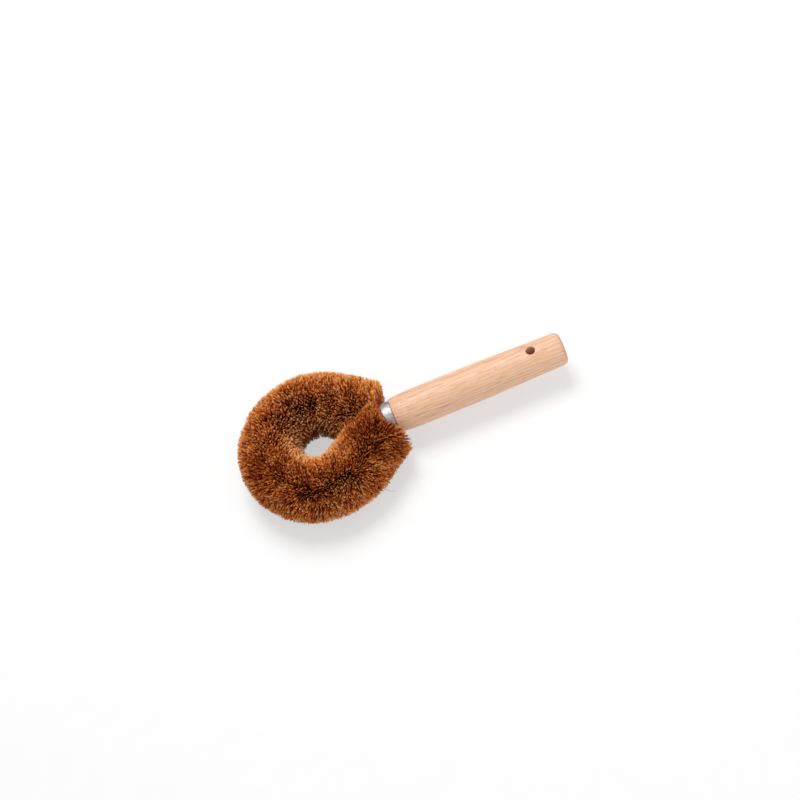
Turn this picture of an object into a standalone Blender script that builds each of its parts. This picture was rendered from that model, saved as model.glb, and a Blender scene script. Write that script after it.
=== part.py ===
"""Scrub brush: a ring of palm fibre on a twisted wire core, with a turned wooden handle.

The ring lies flat in XY and the handle runs along +X. Z is up, and z = 0 is the surface
that the ring lies on. All lengths are in metres. Inside the script, places are measured
from the ring's centre, on the plane of its core, and one empty carries them to the
part's own origin, which is below the middle of the whole brush.
"""
import math
import random

import bmesh
import bpy
from mathutils import Vector

# Fits
seat_gap = 0.0003                   # between pieces that touch on the real brush
merge_distance = 0.000003           # corners closer than this are one

# Ring and arms of the core
core_ring_radius = 0.0350           # centre of the ring to the middle of the core
arm_angle = math.radians(38.5)      # how far each arm leans from the handle's line
wire_bend_radius = 0.0080           # where an arm turns into line with the handle

# Core wires
wire_diameter = 0.0020
wire_pair_gap = 0.0004              # between the two twisted strands
wire_twist_pitch = 0.0140
wire_points_per_turn = 8
wire_depth = 0.0200                 # how far the wire ends reach behind the shoulder

# Palm fibre
fibre_radius = 0.0250               # middle of the core to the trimmed surface
fibre_flat_depth = 0.0005           # cut off where the ring lies on the surface
mat_radius = 0.0070                 # the dense mat of fibre roots round the wires
fibre_tip_width = 0.0015
fibre_end_clearance = 0.0012        # mat to the ferrule's face on the near arm
far_arm_setback = 0.0020            # the far arm's fibre ends this much earlier
slice_count = 16
rings_per_slice = 3
strands_per_ring = 10
strand_short_share = 0.06           # the shortest strand lacks this share of its reach
strand_turn_jitter = math.radians(5.0)
strand_lean_jitter = math.radians(2.0)
near_end_splay = math.radians(9.0)  # the near arm's last strands lean over the ferrule
near_splay_length = 0.0140

# Ferrule
ferrule_length = 0.0077
ferrule_radius = 0.0117
ferrule_wall = 0.0006
ferrule_edge_round = 0.0012
ferrule_setback = 0.0002            # its face behind the start of the wires' bend

# Handle
handle_length = 0.1318              # shoulder to rear face
handle_front_radius = 0.0126
handle_belly_radius = 0.01385
handle_rear_radius = 0.0124
handle_flare_length = 0.0170        # over which the front swells to the belly
handle_belly_length = 0.0380        # of full thickness behind the flare
handle_end_round = 0.0042
handle_front_ease = 0.0005
handle_bore_behind_wire = 0.0030
drill_tip_angle = math.radians(59.0)
hang_hole_radius = 0.00325
hang_hole_from_rear = 0.0237        # rear face to the middle of the hole
hang_hole_ease = 0.0006
cut_overrun = 0.0040

# Facets
lathe_sides = 32
hole_sides = 24
round_steps = 4
flare_steps = 4
taper_steps = 5

# Sizes that follow
wire_radius = wire_diameter / 2
wire_offset = wire_radius + wire_pair_gap / 2
pair_radius = wire_offset + wire_radius
pair_place = pair_radius + seat_gap / 2
core_height = fibre_radius - fibre_flat_depth
strand_turn = 2 * math.pi / strands_per_ring
mat_bore_radius = (pair_radius + seat_gap) / math.cos(0.75 * strand_turn)
bend_drop = wire_bend_radius * (1 - math.cos(arm_angle))
bend_start_y = pair_place + bend_drop
bend_start_x = (core_ring_radius - bend_start_y * math.cos(arm_angle)) / math.sin(arm_angle)
arc_length = core_ring_radius * (math.pi / 2 + arm_angle)
tangent_x = core_ring_radius * math.sin(arm_angle)
arm_length = (bend_start_x - tangent_x) / math.cos(arm_angle)
bend_length = wire_bend_radius * arm_angle
bend_end_x = bend_start_x + wire_bend_radius * math.sin(arm_angle)
ferrule_x = bend_start_x + ferrule_setback
shoulder_x = ferrule_x + ferrule_length + seat_gap
ferrule_mouth_radius = bend_start_y + pair_radius / math.cos(arm_angle) + seat_gap
ferrule_bore_radius = ferrule_radius - ferrule_wall
tenon_radius = ferrule_bore_radius - seat_gap
tenon_length = ferrule_length - ferrule_wall
handle_bore_radius = (pair_place + pair_radius + 2 * seat_gap) / math.cos(math.pi / lathe_sides)
hang_hole_place = handle_length - hang_hole_from_rear
near_end_x = ferrule_x - fibre_end_clearance - mat_radius * math.sin(arm_angle)
far_end_x = near_end_x - far_arm_setback
near_fibre_length = arc_length + (near_end_x - tangent_x) / math.cos(arm_angle)
far_fibre_length = arc_length + (far_end_x - tangent_x) / math.cos(arm_angle)
overall_length = core_ring_radius + fibre_radius + shoulder_x + handle_length
ring_centre_x = core_ring_radius + fibre_radius - overall_length / 2


def clear_scene():
    for old in list(bpy.data.objects):
        bpy.data.objects.remove(old, do_unlink=True)


def material(name, colour, roughness, metallic):
    made = bpy.data.materials.new(name)
    made.use_nodes = True
    shader = made.node_tree.nodes["Principled BSDF"]
    shader.inputs["Base Color"].default_value = (*colour, 1.0)
    shader.inputs["Roughness"].default_value = roughness
    shader.inputs["Metallic"].default_value = metallic
    made.diffuse_color = (*colour, 1.0)
    return made


def add_object(name, data, parent, finish, place=(0.0, 0.0, 0.0)):
    made = bpy.data.objects.new(name, data)
    data.materials.append(finish)
    made.parent = parent
    made.location = place
    bpy.context.scene.collection.objects.link(made)
    return made


def shade_round(mesh, angle):
    mesh.shade_smooth()
    mesh.set_sharp_from_angle(angle=angle)


# The core's middle line, measured from the ring's far point

def half_core(length):
    """Point, direction and outward normal on the half with y above zero."""
    if length <= arc_length:
        turn = math.pi - length / core_ring_radius
        outward = Vector((math.cos(turn), math.sin(turn), 0.0))
        forward = Vector((math.sin(turn), -math.cos(turn), 0.0))
        return outward * core_ring_radius, forward, outward
    forward = Vector((math.cos(arm_angle), -math.sin(arm_angle), 0.0))
    outward = Vector((math.sin(arm_angle), math.cos(arm_angle), 0.0))
    along = length - arc_length
    if along <= arm_length:
        return outward * core_ring_radius + forward * along, forward, outward
    along -= arm_length
    if along <= bend_length:
        lean = arm_angle - along / wire_bend_radius
        outward = Vector((math.sin(lean), math.cos(lean), 0.0))
        forward = Vector((math.cos(lean), -math.sin(lean), 0.0))
        centre = Vector((bend_end_x, pair_place + wire_bend_radius, 0.0))
        return centre - outward * wire_bend_radius, forward, outward
    along -= bend_length
    forward = Vector((1.0, 0.0, 0.0))
    return Vector((bend_end_x + along, pair_place, 0.0)), forward, Vector((0.0, 1.0, 0.0))


def core_frame(length):
    """The same on either half: a length below zero runs down the near arm."""
    point, forward, outward = half_core(abs(length))
    if length < 0:
        point.y = -point.y
        outward.y = -outward.y
        forward = Vector((-forward.x, forward.y, 0.0))
    return point, forward, outward


# Core wires

def core_wire(name, start_turn, parent, finish):
    """One strand of the twisted pair, as a round wire on a helix round the core line."""
    half = arc_length + arm_length + bend_length + (shoulder_x + wire_depth - bend_end_x)
    steps = round(2 * half / wire_twist_pitch * wire_points_per_turn)
    curve = bpy.data.curves.new(name, "CURVE")
    curve.dimensions = "3D"
    curve.bevel_depth = wire_radius
    curve.bevel_resolution = 1
    curve.use_fill_caps = True
    line = curve.splines.new("POLY")
    line.points.add(steps)
    for step in range(steps + 1):
        length = -half + 2 * half * step / steps
        point, _, outward = core_frame(length)
        turn = 2 * math.pi * length / wire_twist_pitch + start_turn
        point += outward * math.cos(turn) * wire_offset
        point.z += math.sin(turn) * wire_offset
        line.points[step].co = (*point, 1.0)
    return add_object(name, curve, parent, finish)


# Palm fibre

def clear_reach(root, direction, reach):
    """Shorten a strand that would run into the ferrule's face."""
    clearance = seat_gap + fibre_tip_width
    room = ferrule_x - clearance - root.x
    if direction.x * reach <= room:
        return reach
    meet = room / direction.x
    at_face = root + direction * meet
    if math.hypot(at_face.y, at_face.z) < ferrule_radius + clearance:
        return meet
    return reach


def cut_share(base, tip, side):
    """How much of a strand's edge is left by the flat foot and by the seam of the arms."""
    left = 1.0
    if tip.z < -core_height:
        left = min(left, (base.z + core_height) / (base.z - tip.z))
    seam = seat_gap / 2
    if base.x > 0 and side * tip.y < seam:
        left = min(left, (side * base.y - seam) / (side * (base.y - tip.y)))
    return left


def strand_tip(length, turn, chance):
    """Four corners of a strand's tip, for the strand that leaves the mat at this place."""
    point, forward, outward = core_frame(length)
    turn += chance.uniform(-strand_turn_jitter, strand_turn_jitter)
    crowding_share = 1.0
    if abs(length) < arc_length:
        crowding_share = min(1.0, 1 + fibre_radius * math.cos(turn) / core_ring_radius)
    lean = chance.uniform(-strand_lean_jitter, strand_lean_jitter) * crowding_share
    from_near_end = near_fibre_length + length
    if from_near_end < near_splay_length:
        lean -= near_end_splay * (1 - from_near_end / near_splay_length)
    upright = Vector((0.0, 0.0, 1.0))
    direction = outward * math.cos(turn) + upright * math.sin(turn) + forward * math.tan(lean)
    across = upright * math.cos(turn) - outward * math.sin(turn)
    short_share = chance.uniform(0, strand_short_share)
    if direction.z * fibre_radius > -core_height:
        reach = fibre_radius * (1 - short_share)
    else:
        reach = fibre_radius
    end = point + direction * clear_reach(point, direction, reach)
    half = fibre_tip_width / 2
    along = forward * half * crowding_share
    aside = across * half
    return [end - along - aside, end - along + aside, end + along + aside, end + along - aside]


def fibre_slice(name, start, stop, first_ring, chance, parent, finish):
    """A bored slice of the root mat, with one tapered strand drawn out of each outer face."""
    mesh_maker = bmesh.new()
    outer_rings = []
    inner_rings = []
    for ring in range(rings_per_slice + 1):
        length = start + (stop - start) * ring / rings_per_slice
        point, _, outward = core_frame(length)
        outer = []
        inner = []
        for place in range(strands_per_ring):
            turn = (place + (first_ring + ring) / 2) * strand_turn
            ray = outward * math.cos(turn) + Vector((0.0, 0.0, math.sin(turn)))
            outer.append(mesh_maker.verts.new(point + ray * mat_radius))
            inner.append(mesh_maker.verts.new(point + ray * mat_bore_radius))
        outer_rings.append(outer)
        inner_rings.append(inner)
    strands = []
    for ring in range(rings_per_slice):
        length = start + (stop - start) * (ring + 0.5) / rings_per_slice
        for place in range(strands_per_ring):
            after = (place + 1) % strands_per_ring
            low, high = outer_rings[ring], outer_rings[ring + 1]
            face = mesh_maker.faces.new((low[place], low[after], high[after], high[place]))
            turn = (place + 0.5 + (first_ring + ring + 0.5) / 2) * strand_turn
            strands.append((face, strand_tip(length, turn, chance), math.copysign(1.0, length)))
            low, high = inner_rings[ring], inner_rings[ring + 1]
            mesh_maker.faces.new((low[after], low[place], high[place], high[after]))
    for outer, inner in ((outer_rings[0], inner_rings[0]), (outer_rings[-1], inner_rings[-1])):
        for place in range(strands_per_ring):
            after = (place + 1) % strands_per_ring
            mesh_maker.faces.new((outer[place], outer[after], inner[after], inner[place]))
    for face, tips, side in strands:
        bases = [corner.co.copy() for corner in face.verts]
        drawn = bmesh.ops.extrude_discrete_faces(mesh_maker, faces=[face])["faces"][0]
        for corner, base, tip in zip(drawn.verts, bases, tips):
            corner.co = base.lerp(tip, cut_share(base, tip, side))
    bmesh.ops.recalc_face_normals(mesh_maker, faces=mesh_maker.faces)
    mesh = bpy.data.meshes.new(name)
    mesh_maker.to_mesh(mesh)
    mesh_maker.free()
    return add_object(name, mesh, parent, finish)


def fibre_ring(parent, finish):
    """The fibre as slices of equal length, from the near arm's end round to the far arm's."""
    chance = random.Random(7)
    slice_length = (near_fibre_length + far_fibre_length) / slice_count
    for number in range(slice_count):
        start = -near_fibre_length + number * slice_length + seat_gap / 2
        stop = start + slice_length - seat_gap
        name = f"fibre_slice_{number + 1:02d}"
        fibre_slice(name, start, stop, number * rings_per_slice, chance, parent, finish)


# Turned pieces

def turned(name, outline, sides):
    """Turn an outline of (along X, radius) points round the X axis."""
    mesh_maker = bmesh.new()
    corners = [mesh_maker.verts.new((along, radius, 0.0)) for along, radius in outline]
    for first, second in zip(corners, corners[1:]):
        mesh_maker.edges.new((first, second))
    if outline[0][1] > 0:
        mesh_maker.edges.new((corners[-1], corners[0]))
    bmesh.ops.spin(mesh_maker, geom=mesh_maker.verts[:] + mesh_maker.edges[:],
                   cent=(0.0, 0.0, 0.0), axis=(1.0, 0.0, 0.0), angle=2 * math.pi, steps=sides)
    bmesh.ops.remove_doubles(mesh_maker, verts=mesh_maker.verts, dist=merge_distance)
    bmesh.ops.recalc_face_normals(mesh_maker, faces=mesh_maker.faces)
    mesh = bpy.data.meshes.new(name)
    mesh_maker.to_mesh(mesh)
    mesh_maker.free()
    shade_round(mesh, math.radians(40.0))
    return mesh


def quarter_round(centre_x, centre_radius, size, start_turn):
    """Points of a quarter circle, its turn measured from +X towards a larger radius."""
    points = []
    for step in range(round_steps + 1):
        turn = start_turn + math.pi / 2 * step / round_steps
        points.append((centre_x + size * math.cos(turn), centre_radius + size * math.sin(turn)))
    return points


def ferrule_mesh():
    """A drawn cup with its rounded face towards the fibre and a mouth for the wires."""
    outline = [(ferrule_length, ferrule_bore_radius), (ferrule_length, ferrule_radius)]
    outline += quarter_round(ferrule_edge_round, ferrule_radius - ferrule_edge_round,
                             ferrule_edge_round, math.pi / 2)
    outline += [(0.0, ferrule_mouth_radius), (ferrule_wall, ferrule_mouth_radius),
                (ferrule_wall, ferrule_bore_radius)]
    return turned("ferrule", outline, lathe_sides)


def handle_body_radius(along):
    """Radius of the gripped length, from the flared front over the belly to the rear."""
    if along < handle_flare_length:
        left = 1 - along / handle_flare_length
        return handle_belly_radius - (handle_belly_radius - handle_front_radius) * left ** 2
    taper_start = handle_flare_length + handle_belly_length
    if along < taper_start:
        return handle_belly_radius
    share = (along - taper_start) / (handle_length - taper_start)
    ease_share = share * share * (3 - 2 * share)
    return handle_belly_radius - (handle_belly_radius - handle_rear_radius) * ease_share


def handle_mesh():
    """Rear face, body, shoulder, tenon, countersunk mouth and blind bore in one outline."""
    round_start = handle_length - handle_end_round
    end_radius = handle_body_radius(round_start)
    outline = [(handle_length, 0.0)]
    outline += quarter_round(round_start, end_radius - handle_end_round, handle_end_round, 0.0)
    taper_start = handle_flare_length + handle_belly_length
    for step in range(1, taper_steps + 1):
        along = round_start + (taper_start - round_start) * step / taper_steps
        outline.append((along, handle_body_radius(along)))
    for step in range(flare_steps):
        along = handle_flare_length * (1 - step / flare_steps)
        outline.append((along, handle_body_radius(along)))
    outline += [(handle_front_ease, handle_body_radius(handle_front_ease)),
                (0.0, handle_front_radius - handle_front_ease), (0.0, tenon_radius),
                (handle_front_ease - tenon_length, tenon_radius),
                (-tenon_length, tenon_radius - handle_front_ease),
                (-tenon_length, ferrule_mouth_radius)]
    countersink = ferrule_mouth_radius - handle_bore_radius
    bore_end = wire_depth + handle_bore_behind_wire
    drill_tip = handle_bore_radius / math.tan(drill_tip_angle)
    outline += [(countersink - tenon_length, handle_bore_radius),
                (bore_end, handle_bore_radius), (bore_end + drill_tip, 0.0)]
    return turned("handle", outline, lathe_sides)


def hang_hole_cutter(parent, finish):
    """A drill through the handle along Z, with a countersink at each mouth."""
    surface = handle_body_radius(hang_hole_place)
    far = surface + cut_overrun
    wide = hang_hole_radius + hang_hole_ease + cut_overrun
    outline = [(-far, 0.0), (-far, wide), (hang_hole_ease - surface, hang_hole_radius),
               (surface - hang_hole_ease, hang_hole_radius), (far, wide), (far, 0.0)]
    mesh = turned("hang_hole_cutter", outline, hole_sides)
    cutter = add_object("hang_hole_cutter", mesh, parent, finish,
                        (shoulder_x + hang_hole_place, 0.0, 0.0))
    cutter.rotation_euler = (0.0, -math.pi / 2, 0.0)
    cutter.hide_render = True
    cutter.display_type = "WIRE"
    return cutter


def drill(target, cutter):
    cut = target.modifiers.new("hang_hole", "BOOLEAN")
    cut.operation = "DIFFERENCE"
    cut.solver = "EXACT"
    cut.object = cutter


def build():
    clear_scene()
    wood = material("pale_beech", (0.77, 0.50, 0.31), 0.55, 0.0)
    palm = material("palm_fibre", (0.42, 0.16, 0.045), 0.85, 0.0)
    bright_metal = material("bright_steel", (0.78, 0.78, 0.77), 0.28, 1.0)
    wire_metal = material("galvanised_wire", (0.55, 0.55, 0.54), 0.42, 1.0)

    brush = bpy.data.objects.new("brush_frame", None)
    brush.location = (ring_centre_x, 0.0, core_height)
    bpy.context.scene.collection.objects.link(brush)

    core_wire("core_wire_strand_a", 0.0, brush, wire_metal)
    core_wire("core_wire_strand_b", math.pi, brush, wire_metal)
    fibre_ring(brush, palm)
    add_object("ferrule", ferrule_mesh(), brush, bright_metal, (ferrule_x, 0.0, 0.0))
    handle = add_object("handle", handle_mesh(), brush, wood, (shoulder_x, 0.0, 0.0))
    drill(handle, hang_hole_cutter(brush, wood))
    bpy.context.view_layer.update()


build()
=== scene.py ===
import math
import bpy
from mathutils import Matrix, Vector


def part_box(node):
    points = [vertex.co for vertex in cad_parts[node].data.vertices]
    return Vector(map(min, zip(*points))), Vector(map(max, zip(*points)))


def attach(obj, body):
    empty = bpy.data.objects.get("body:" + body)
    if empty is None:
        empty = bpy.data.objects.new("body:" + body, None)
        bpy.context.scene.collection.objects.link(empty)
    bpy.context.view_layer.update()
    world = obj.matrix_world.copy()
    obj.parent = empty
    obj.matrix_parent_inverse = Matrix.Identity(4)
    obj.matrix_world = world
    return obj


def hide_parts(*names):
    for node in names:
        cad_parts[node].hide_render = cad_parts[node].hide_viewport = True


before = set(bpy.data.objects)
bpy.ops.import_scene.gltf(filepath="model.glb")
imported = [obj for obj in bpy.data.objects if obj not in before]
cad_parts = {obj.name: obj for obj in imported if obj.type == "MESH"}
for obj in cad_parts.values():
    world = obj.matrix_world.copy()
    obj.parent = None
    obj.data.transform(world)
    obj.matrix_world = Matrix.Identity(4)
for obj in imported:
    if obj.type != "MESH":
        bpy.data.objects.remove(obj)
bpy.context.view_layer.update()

# Looks of the scrub brush. All lengths are in metres. The driving sizes are those of the
# CAD part. Places are measured from the ring's centre, on the plane of its core.
from types import SimpleNamespace

import bpy
import numpy as np
from mathutils import Matrix, Vector, kdtree

# Core
core_ring_radius = 0.0350
arm_angle = math.radians(38.5)
wire_bend_radius = 0.0080
wire_diameter = 0.0020
wire_pair_gap = 0.0004
wire_twist_pitch = 0.0140
wire_depth = 0.0200
seat_gap = 0.0003

# Fibre
fibre_radius = 0.0250
mat_radius = 0.0070
fibre_end_clearance = 0.0012
far_arm_setback = 0.0020
slice_count = 16

# Ferrule
ferrule_length = 0.0077
ferrule_radius = 0.0117
ferrule_wall = 0.0006
ferrule_edge_round = 0.0012
ferrule_setback = 0.0002

# Handle
handle_length = 0.1318
handle_front_radius = 0.0126
handle_belly_radius = 0.01385
handle_rear_radius = 0.0124
handle_flare_length = 0.0170
handle_belly_length = 0.0380
handle_end_round = 0.0042
handle_front_ease = 0.0005
handle_bore_behind_wire = 0.0030
drill_tip_angle = math.radians(59.0)
hang_hole_radius = 0.00325
hang_hole_from_rear = 0.0237
hang_hole_ease = 0.0009
hole_drill_overrun = 0.0040

# Sizes that follow
wire_radius = wire_diameter / 2
wire_offset = wire_radius + wire_pair_gap / 2
pair_radius = wire_offset + wire_radius
pair_place = pair_radius + seat_gap / 2
bend_start_y = pair_place + wire_bend_radius * (1 - math.cos(arm_angle))
bend_start_x = (core_ring_radius - bend_start_y * math.cos(arm_angle)) / math.sin(arm_angle)
arc_length = core_ring_radius * (math.pi / 2 + arm_angle)
tangent_x = core_ring_radius * math.sin(arm_angle)
arm_length = (bend_start_x - tangent_x) / math.cos(arm_angle)
bend_length = wire_bend_radius * arm_angle
bend_end_x = bend_start_x + wire_bend_radius * math.sin(arm_angle)
ferrule_x = bend_start_x + ferrule_setback
shoulder_x = ferrule_x + ferrule_length + seat_gap
ferrule_mouth_radius = bend_start_y + pair_radius / math.cos(arm_angle) + seat_gap
ferrule_bore_radius = ferrule_radius - ferrule_wall
ferrule_lip_inner_ease = 0.15 * ferrule_wall
ferrule_lip_outer_ease = 0.25 * ferrule_wall
ferrule_mouth_ease = 0.30 * ferrule_wall
tenon_radius = ferrule_bore_radius - seat_gap
tenon_length = ferrule_length - ferrule_wall
handle_bore_radius = pair_place + pair_radius + 2 * seat_gap
drill_tip_length = 0.98 * handle_bore_radius / math.tan(drill_tip_angle)
turned_end_radius = 0.02 * handle_end_round
hole_drill_end_radius = hang_hole_radius + 2.2 * hang_hole_ease
wire_half_length = arc_length + arm_length + bend_length + shoulder_x + wire_depth - bend_end_x
near_end_x = ferrule_x - fibre_end_clearance - mat_radius * math.sin(arm_angle)
far_end_x = near_end_x - far_arm_setback
near_fibre_length = arc_length + (near_end_x - tangent_x) / math.cos(arm_angle)
far_fibre_length = arc_length + (far_end_x - tangent_x) / math.cos(arm_angle)

ferrule_low, ferrule_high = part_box("ferrule")
ring_centre = Vector((ferrule_low.x - ferrule_x, 0.0, (ferrule_low.z + ferrule_high.z) / 2))
core_height = ring_centre.z


# Meshes

def add_piece(name, mesh, finish, replaced=()):
    """Put a piece of the brush in the scene. Its mesh is measured from the ring's centre."""
    mesh.transform(Matrix.Translation(ring_centre))
    mesh.materials.append(finish)
    made = bpy.data.objects.new(name, mesh)
    bpy.context.scene.collection.objects.link(made)
    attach(made, "root")
    if replaced:
        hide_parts(*replaced)


def mesh_from(name, points, faces, sizes):
    """A mesh from flat arrays: the faces' corners one after another, and how many each has."""
    mesh = bpy.data.meshes.new(name)
    mesh.vertices.add(len(points))
    mesh.vertices.foreach_set("co", points.astype(np.float32).ravel())
    mesh.loops.add(len(faces))
    mesh.loops.foreach_set("vertex_index", faces.astype(np.int32))
    mesh.polygons.add(len(sizes))
    starts = np.concatenate(([0], np.cumsum(sizes)[:-1]))
    mesh.polygons.foreach_set("loop_start", starts.astype(np.int32))
    mesh.update(calc_edges=True)
    return mesh


def ring_grid(name, rings, loop):
    """Skin over rings of points. The last ring joins the first, or both ends get a cap."""
    count, sides, _ = rings.shape
    corner = np.arange(count * sides).reshape(count, sides)
    next_ring = np.roll(corner, -1, axis=0)
    if not loop:
        corner, next_ring = corner[:-1], next_ring[:-1]
    quads = np.stack([corner, np.roll(corner, -1, axis=1),
                      np.roll(next_ring, -1, axis=1), next_ring], axis=-1).reshape(-1, 4)
    faces = [quads.ravel()]
    sizes = [np.full(len(quads), 4)]
    if not loop:
        faces += [corner[0][::-1], next_ring[-1]]
        sizes += [np.array([sides, sides])]
    return mesh_from(name, rings.reshape(-1, 3), np.concatenate(faces), np.concatenate(sizes))


def smooth(mesh, angle):
    """Shade the mesh smooth, with edges sharper than this many degrees kept sharp."""
    mesh.shade_smooth()
    mesh.set_sharp_from_angle(angle=math.radians(angle))
    return mesh


def turned(name, outline, sides, loop):
    """Turn an outline of (along X, radius) points round the X axis."""
    outline = np.array(outline)
    turn = 2 * math.pi * np.arange(sides) / sides
    along = np.repeat(outline[:, :1], sides, axis=1)
    across = outline[:, 1:] * np.cos(turn)
    upward = outline[:, 1:] * np.sin(turn)
    return ring_grid(name, np.stack([along, across, upward], axis=-1), loop)


def quarter_round(centre_x, centre_radius, size, start_turn, steps=8):
    """Points of a quarter circle, its turn measured from +X towards a larger radius."""
    turns = start_turn + np.linspace(0, math.pi / 2, steps + 1)
    return [(centre_x + size * math.cos(t), centre_radius + size * math.sin(t)) for t in turns]


def unit(vectors):
    """The same directions with a length of one."""
    return vectors / np.linalg.norm(vectors, axis=-1, keepdims=True)


def tube_corners(paths, radii, sides, beside):
    """Corners round each point of each path, with the first one on the side of beside."""
    tangent = unit(np.gradient(paths, axis=1))
    first = unit(beside - tangent * np.sum(beside * tangent, axis=-1, keepdims=True))
    second = np.cross(tangent, first)
    turn = 2 * math.pi * np.arange(sides)[:, None] / sides
    ray = first[:, :, None] * np.cos(turn) + second[:, :, None] * np.sin(turn)
    return paths[:, :, None] + ray * radii[:, :, None, None]


def core_line(length):
    """Points, directions and outward normals of the core's middle line at these lengths.

    Lengths count from the ring's far point, below zero towards the near arm.
    """
    side = np.where(length < 0, -1.0, 1.0)
    along = np.abs(length)
    turn = math.pi - np.minimum(along, arc_length) / core_ring_radius
    straight = np.clip(along - arc_length, 0.0, arm_length)
    outward = np.stack([np.cos(turn), np.sin(turn)], axis=-1)
    forward = np.stack([np.sin(turn), -np.cos(turn)], axis=-1)
    point = outward * core_ring_radius + forward * straight[:, None]

    bent = np.clip(along - arc_length - arm_length, 0.0, bend_length)
    lean = arm_angle - bent / wire_bend_radius
    in_bend = (along > arc_length + arm_length)[:, None]
    bend_outward = np.stack([np.sin(lean), np.cos(lean)], axis=-1)
    bend_forward = np.stack([np.cos(lean), -np.sin(lean)], axis=-1)
    bend_centre = np.array([bend_end_x, pair_place + wire_bend_radius])
    bend_point = bend_centre - bend_outward * wire_bend_radius
    bend_point[:, 0] += np.maximum(along - arc_length - arm_length - bend_length, 0.0)
    point = np.where(in_bend, bend_point, point)
    outward = np.where(in_bend, bend_outward, outward)
    forward = np.where(in_bend, bend_forward, forward)

    flat = np.zeros(len(length))
    return (np.stack([point[:, 0], side * point[:, 1], flat], axis=-1),
            np.stack([side * forward[:, 0], forward[:, 1], flat], axis=-1),
            np.stack([outward[:, 0], side * outward[:, 1], flat], axis=-1))


# Materials

def new_material(name):
    made = bpy.data.materials.new(name)
    made.use_nodes = True
    return made, made.node_tree, made.node_tree.nodes["Principled BSDF"]


def feed(tree, socket, value):
    """Link another node's output to a socket, or set the socket's own value."""
    if isinstance(value, bpy.types.NodeSocket):
        tree.links.new(value, socket)
    else:
        socket.default_value = value


def add_node(tree, kind, inputs=None, **settings):
    made = tree.nodes.new(kind)
    for name, value in settings.items():
        setattr(made, name, value)
    for name, value in (inputs or {}).items():
        feed(tree, made.inputs[name], value)
    return made


def ramp(tree, factor, stops):
    made = tree.nodes.new("ShaderNodeValToRGB")
    elements = made.color_ramp.elements
    while len(elements) < len(stops):
        elements.new(0.5)
    for element, (place, colour) in zip(elements, stops):
        element.position = place
        if isinstance(colour, float):
            colour = (colour, colour, colour)
        element.color = (*colour, 1.0)
    tree.links.new(factor, made.inputs["Fac"])
    return made.outputs["Color"]


def maths(tree, operation, first, second=0.0, third=0.0):
    made = tree.nodes.new("ShaderNodeMath")
    made.operation = operation
    for socket, value in zip(made.inputs, (first, second, third)):
        feed(tree, socket, value)
    return made.outputs[0]


def mixed(tree, factor, first, second, blend="MIX"):
    """Mix two colours, each of them another node's output or red, green and blue."""
    made = add_node(tree, "ShaderNodeMix", data_type="RGBA", blend_type=blend)
    for name, value in (("Factor", factor), ("A", first), ("B", second)):
        socket = next(s for s in made.inputs if s.name == name and s.enabled)
        feed(tree, socket, (*value, 1.0) if isinstance(value, tuple) else value)
    return next(s for s in made.outputs if s.enabled)


def placed(tree, scale=(1.0, 1.0, 1.0), rotation=(0.0, 0.0, 0.0)):
    """The object's own coordinates, turned and then scaled."""
    where = tree.nodes.new("ShaderNodeTexCoord").outputs["Object"]
    turned_by = add_node(tree, "ShaderNodeMapping", {"Vector": where, "Rotation": rotation})
    return add_node(tree, "ShaderNodeMapping",
                    {"Vector": turned_by.outputs[0], "Scale": scale}).outputs[0]


def noise(tree, where, scale, detail=2.0, roughness=0.5, distortion=0.0):
    return add_node(tree, "ShaderNodeTexNoise",
                    {"Vector": where, "Scale": scale, "Detail": detail, "Roughness": roughness,
                     "Distortion": distortion}).outputs["Fac"]


def grain(tree, scale, detail=2.0, roughness=0.5, rotation=(0.0, 0.0, 0.0)):
    """Noise whose three scales, in cycles per metre, draw it out along an axis."""
    return noise(tree, placed(tree, scale, rotation), 1.0, detail, roughness)


def bump(tree, height, strength, distance, below=None):
    made = add_node(tree, "ShaderNodeBump",
                    {"Height": height, "Strength": strength, "Distance": distance})
    if below is not None:
        tree.links.new(below, made.inputs["Normal"])
    return made.outputs[0]


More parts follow.
